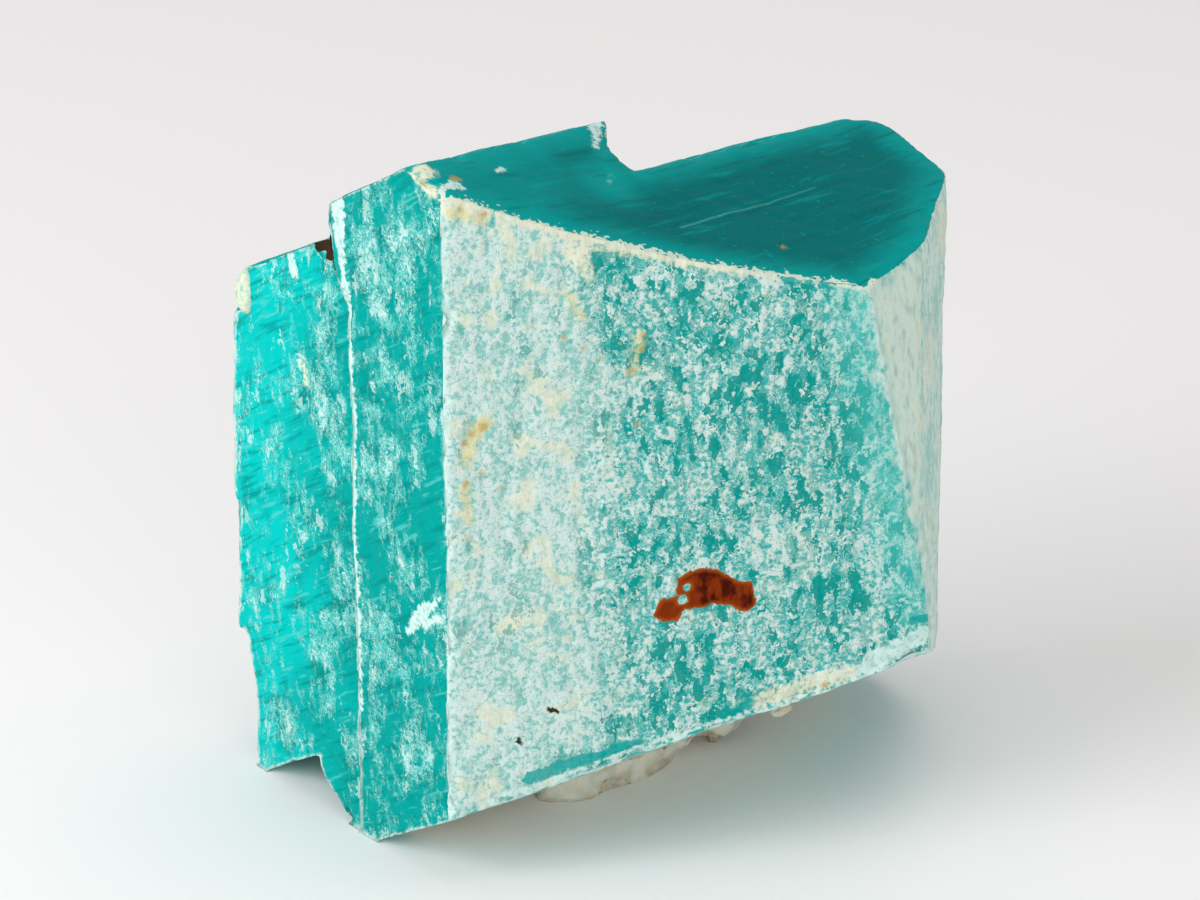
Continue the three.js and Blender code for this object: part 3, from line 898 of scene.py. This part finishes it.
def frosting(g, t):
    """The albite frosting of the front face: pale worms over teal, with teal windows."""
    cover = g.blend(
        0.0, (t.grains, 0.4), (t.fine, 0.35), (t.worms, 0.25), (t.patchy, -0.03), (t.spread, -0.035)
    )
    base = g.mix(g.ramp(cover, 0.41, 0.55), g.mix(t.spread, PALE, MID), WHITE)
    base = g.mix(g.times(t.worm_lines, g.blend(0.5, (t.spread, 0.3))), base, MID)
    base = g.mix(g.times(t.fine_lines, 0.55), base, MILKY)
    cream = g.times(g.ramp(t.cloudy, 0.2, 0.6), g.blend(0.6, (t.spread, -0.45)))
    base = g.mix(cream, base, CREAM)
    base = g.mix(g.ramp(t.lines, 0.64, 0.7, 0.0, 0.35), base, WHITE)
    window = g.blend(0.0, (t.cells, 1.0), (t.patchy, 0.22), (t.crisp, 0.3), (t.spread, 0.2))
    share = g.times(g.ramp(window, 0.73, 0.81), g.blend(0.55, (t.spread, 0.4)))
    base = g.mix(share, base, DEEP)
    near_bevel = g.blend(0.0, (g.attribute("in_bevel"), 1.0), (t.ragged, 0.6))
    return g.mix(g.ramp(near_bevel, -4.5, -0.8, 0.0, 0.45), base, GLOW)


def flecked(g, t):
    """The left face: saturated teal, milky feathered patches and fine oblique cleavage."""
    # Away from the front edge the left face is painted brighter, a painted glow of light.
    base = g.mix(t.spread, LEFT_TEAL, LEFT_PAINTED_GLOW)
    shade = g.blend(0.0, (t.patchy, 1.0), (t.cloudy, -0.6))
    base = g.mix(g.ramp(shade, 0.0, 0.9, 0.0, 0.6), base, LEFT_DARK)
    base = g.mix(g.ramp(t.lines, 0.52, 0.66, 0.0, 0.6), base, LEFT_DARK)
    amount = g.blend(
        -0.01, (t.grains, 0.6), (t.patchy, 0.16), (t.fine, 0.3), (t.cloudy, 0.09), (t.spread, -0.03)
    )
    patch = g.ramp(amount, 0.42, 0.62)
    base = g.mix(g.times(patch, 0.6), base, HAZE)
    curls = g.times(g.ramp(amount, 0.38, 0.55, 0.0, 0.6), t.fine_lines)
    base = g.mix(curls, base, MILKY)
    base = g.mix(g.times(patch, t.worm_lines, 0.55), base, MILKY)
    base = g.mix(g.ramp(t.lines, 0.3, 0.4, 0.5, 0.0), base, HAZE)
    block = g.blend(0.0, (t.cells, 1.0), (t.patchy, 0.14), (t.crisp, 0.25))
    base = g.mix(g.ramp(block, 0.71, 0.77, 0.0, 0.5), base, MILKY)
    return g.mix(g.ramp(amount, 0.62, 0.68, 0.0, 0.65), base, WHITE)


def cleaved(g, t):
    """The smooth dark cleavage on top: lighter towards its edges, with fine lines."""
    across = g.blend(0.0, (g.dot(t.place, (1, 0, 0)), 1.0), (t.broad, 4.0))
    base = g.mix(g.ramp(across, 3.0, 13.0), TOP_TEAL, TOP_DARK)
    base = g.mix(g.ramp(g.attribute("in_top"), 0.0, 3.4, 0.75, 0.0), base, EDGE_TEAL)
    base = g.mix(g.ramp(t.lines, 0.56, 0.72, 0.0, 0.4), base, EDGE_TEAL)
    specks = g.blend(0.0, (t.fine, 1.0), (t.grains, 0.6))
    base = g.mix(g.ramp(specks, 0.98, 1.1, 0.0, 0.6), base, EDGE_TEAL)
    return g.mix(g.ramp(t.lines, 0.3, 0.44, 0.5, 0.0), base, TOP_LINE)


def mottled(g, t):
    """The broken faces: teal and pale patches, white flecks, and lines of the cleavage."""
    base = g.mix(g.ramp(t.cloudy, -0.6, 0.6), BROKEN_TEAL, BROKEN_PALE)
    base = g.mix(g.ramp(t.lines, 0.52, 0.66, 0.0, 0.6), base, LEFT_TEAL)
    base = g.mix(g.ramp(t.mottle, 0.54, 0.68), base, WHITE)
    return g.mix(g.times(t.fine_lines, 0.4), base, MILKY)


def clouded(g, t):
    """The right face: pale grey-green, with teal patches and a little cream."""
    base = g.mix(g.ramp(t.mottle, 0.4, 0.64), RIGHT_PALE, RIGHT_TEAL)
    base = g.mix(g.ramp(t.lines, 0.54, 0.68, 0.0, 0.5), base, GREY_GREEN)
    return g.mix(g.ramp(t.broad, 0.1, 0.6, 0.0, 0.35), base, CREAM)


def body_color(g, t, inside):
    """The colour of every face, each laid over the one before at its own ragged border."""
    color = g.mix(inside("in_right"), mottled(g, t), clouded(g, t))
    color = g.mix(inside("in_left"), color, flecked(g, t))
    color = g.mix(inside("in_front"), color, frosting(g, t))
    worn = g.times(g.ramp(g.attribute("crease"), 0.05, 0.3, 0.8, 0.0), g.ramp(t.grains, 0.35, 0.55))
    color = g.mix(worn, color, WHITE)
    bevel = g.mix(g.ramp(t.grains, 0.48, 0.7, 0.0, 0.8), BEVEL_PALE, GREY_GREEN)
    bevel = g.mix(g.ramp(t.cloudy, 0.1, 0.7, 0.0, 0.4), bevel, CREAM)
    border = g.blend(-1.5, (t.ragged, 0.8), (t.grains, 3.0))
    color = g.mix(inside("in_bevel", border, 1.0), color, bevel)
    # By the front, the top has a pale rim and frays into it.
    top = cleaved(g, t)
    by_front = g.ramp(g.attribute("in_front"), -2.2, -0.8)
    rim = g.times(inside("in_top", 0.4), by_front, 0.8)
    color = g.mix(rim, color, g.mix(t.grains, CREAM, WHITE))
    fray = g.times(g.blend(-1.45, (t.crisp, 2.6), (t.grains, 2.2)), by_front)
    color = g.mix(inside("in_top", fray), color, top)
    color = g.mix(inside("in_ledge"), color, g.mix(0.6, top, LEFT_TEAL))
    crust = g.mix(g.ramp(t.cloudy, -0.5, 0.5), CRUST_DARK, CRUST_PALE)
    crust = g.mix(g.ramp(t.grains, 0.4, 0.6, 0.5, 0.0), crust, WHITE)
    return g.mix(inside("in_crust", t.crisp), color, crust)


def marked(g, t, inside, color):
    """The colour with the stains, patches and lines laid over it, and the painted shade of a hollow.
    """
    wide = g.blend(0.0, (t.crisp, 1.0), (t.ragged, 0.2))
    color = g.mix(g.times(inside("mark_teal", wide), 0.9), color, EDGE_TEAL)
    color = g.mix(g.times(inside("mark_trace", 0.0, 0.1), 0.4), color, HAZE)
    cream_share = g.ramp(g.blend(0.0, (t.fine, 1.0), (t.grains, 0.5)), 0.55, 0.85, 0.35, 0.85)
    white_share = g.ramp(g.blend(0.0, (t.fine, 1.0), (t.worms, 0.6)), 0.62, 0.78, 0.6, 0.95)
    color = g.mix(g.times(inside("mark_white", wide, 0.12), white_share), color, MILKY)
    color = g.mix(g.times(inside("mark_cream", wide, 0.25), cream_share), color, CREAM)
    color = g.mix(g.times(inside("mark_yellow", wide, 0.4), cream_share), color, YELLOW)
    color = g.mix(g.times(inside("mark_stain", t.crisp, 0.2), 0.75), color, STAIN)
    # Dark marks: brown spots on the front, and painted shade in and beside the small hollow on the
    # left.
    color = g.mix(inside("mark_dark", wide), color, BROWN_SPOT_AND_SHADE)
    # The rust is mottled, and orange at its left end and along its edge.
    mottle = g.blend(0.0, (t.grains, 1.0), (t.ragged, 0.12))
    rust = g.mix(g.ramp(mottle, 0.38, 0.62), RUST_ORANGE, RUST_RED)
    rust = g.mix(g.ramp(t.along_front, 14.5, 16.5, 0.8, 0.0), rust, RUST_ORANGE)
    rust = g.mix(g.ramp(g.attribute("mark_rust"), 0.02, 0.35, 0.7, 0.0), rust, RUST_EDGE)
    return g.mix(inside("mark_rust", g.times(wide, 0.5), 0.05), color, rust)


def stone_material():
    g = Graph("amazonite")
    t = Textures(g)

    def inside(name, wander=0.0, soft=0.08):
        """From 0 outside a face or mark to 1 inside, its border moved outwards by wander."""
        return g.ramp(g.math("ADD", g.attribute(name), wander), -soft, soft)

    g.put(g.shader.inputs["Base Color"], marked(g, t, inside, body_color(g, t, inside)))
    top, left, rust = inside("in_top"), inside("in_left"), inside("mark_rust")
    rough = g.blend(0.51, (t.grains, 0.3), (top, -0.26), (left, -0.14), (rust, -0.2))
    g.put(g.shader.inputs["Roughness"], rough)
    bump = g.node(
        "ShaderNodeBump",
        {
            "Height": g.blend(0.0, (t.grains, 1.0), (t.fine, 0.6)),
            "Strength": g.blend(0.4, (top, -0.32), (left, -0.12)),
            "Distance": BUMP_DEPTH * MM,
        },
        "Normal",
    )
    g.put(g.shader.inputs["Normal"], bump)
    g.shader.inputs["Specular IOR Level"].default_value = STONE_SPECULAR
    return g.material


# ---- Studio, in metres ---------------------------------------------------------------------------
# Each light: name, azimuth and elevation in degrees, distance, width, height, and watts.
LIGHTS = [
    ("key", -150, 30, 0.4, 0.28, 0.28, 1.08),
    ("fill", -70, 20, 0.7, 0.5, 0.4, 0.8),
    ("over", 20, 80, 0.8, 0.6, 0.6, 1.45),
]
LIGHT_COLOR = (0.985, 1.0, 1.01)
LIGHT_TARGET = (0, 0, 0.022)
FLOOR_REACH = 3.0
FLOOR_COLOR = (0.9, 0.886, 0.884, 1)
FLOOR_ROUGHNESS = 0.7
WORLD_COLOR = (1.0, 0.972, 0.965, 1)
WORLD_STRENGTH = 0.5


def look_at(thing, place, target):
    thing.location = place
    thing.rotation_euler = (Vector(target) - Vector(place)).to_track_quat("-Z", "Y").to_euler()


def add_camera():
    data = bpy.data.cameras.new("camera")
    data.lens = LENS
    data.sensor_width = SENSOR_WIDTH
    data.clip_start, data.clip_end = (distance * MM for distance in CAMERA_CLIP)
    camera = bpy.data.objects.new("camera", data)
    bpy.context.scene.collection.objects.link(camera)
    target = Vector(CAMERA_TARGET) * MM
    elevation = math.radians(CAMERA_ELEVATION)
    back = Vector((0, -math.cos(elevation), math.sin(elevation)))
    look_at(camera, target + back * CAMERA_DISTANCE * MM, target)
    bpy.context.scene.camera = camera


def add_light(name, azimuth, elevation, distance, width, height, watts):
    data = bpy.data.lights.new(name, "AREA")
    data.shape = "RECTANGLE"
    data.size = width
    data.size_y = height
    data.energy = watts
    data.color = LIGHT_COLOR
    light = bpy.data.objects.new(name, data)
    bpy.context.scene.collection.objects.link(light)
    target = Vector(LIGHT_TARGET)
    look_at(light, target + Vector(direction(azimuth, elevation)) * distance, target)


def add_floor():
    g = Graph("floor")
    g.put(g.shader.inputs["Base Color"], FLOOR_COLOR)
    g.put(g.shader.inputs["Roughness"], FLOOR_ROUGHNESS)
    g.put(g.shader.inputs["Specular IOR Level"], 0.0)
    mesh = bpy.data.meshes.new("floor")
    turns = ((-1, -1), (1, -1), (1, 1), (-1, 1))
    corners = [(x * FLOOR_REACH, y * FLOOR_REACH, 0) for x, y in turns]
    mesh.from_pydata(corners, [], [(0, 1, 2, 3)])
    mesh.materials.append(g.material)
    floor = bpy.data.objects.new("floor", mesh)
    bpy.context.scene.collection.objects.link(floor)


def add_world():
    world = bpy.data.worlds.new("studio")
    world.use_nodes = True
    shade = world.node_tree.nodes["Background"]
    shade.inputs["Color"].default_value = WORLD_COLOR
    shade.inputs["Strength"].default_value = WORLD_STRENGTH
    bpy.context.scene.world = world


add_camera()
add_world()
add_floor()
for light in LIGHTS:
    add_light(*light)
bpy.context.scene.view_settings.view_transform = "Standard"

stone = mesh_object("rough_amazonite", *dressed_stone())
stone.data.materials.append(stone_material())
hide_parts(NODE)
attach(stone, "root")
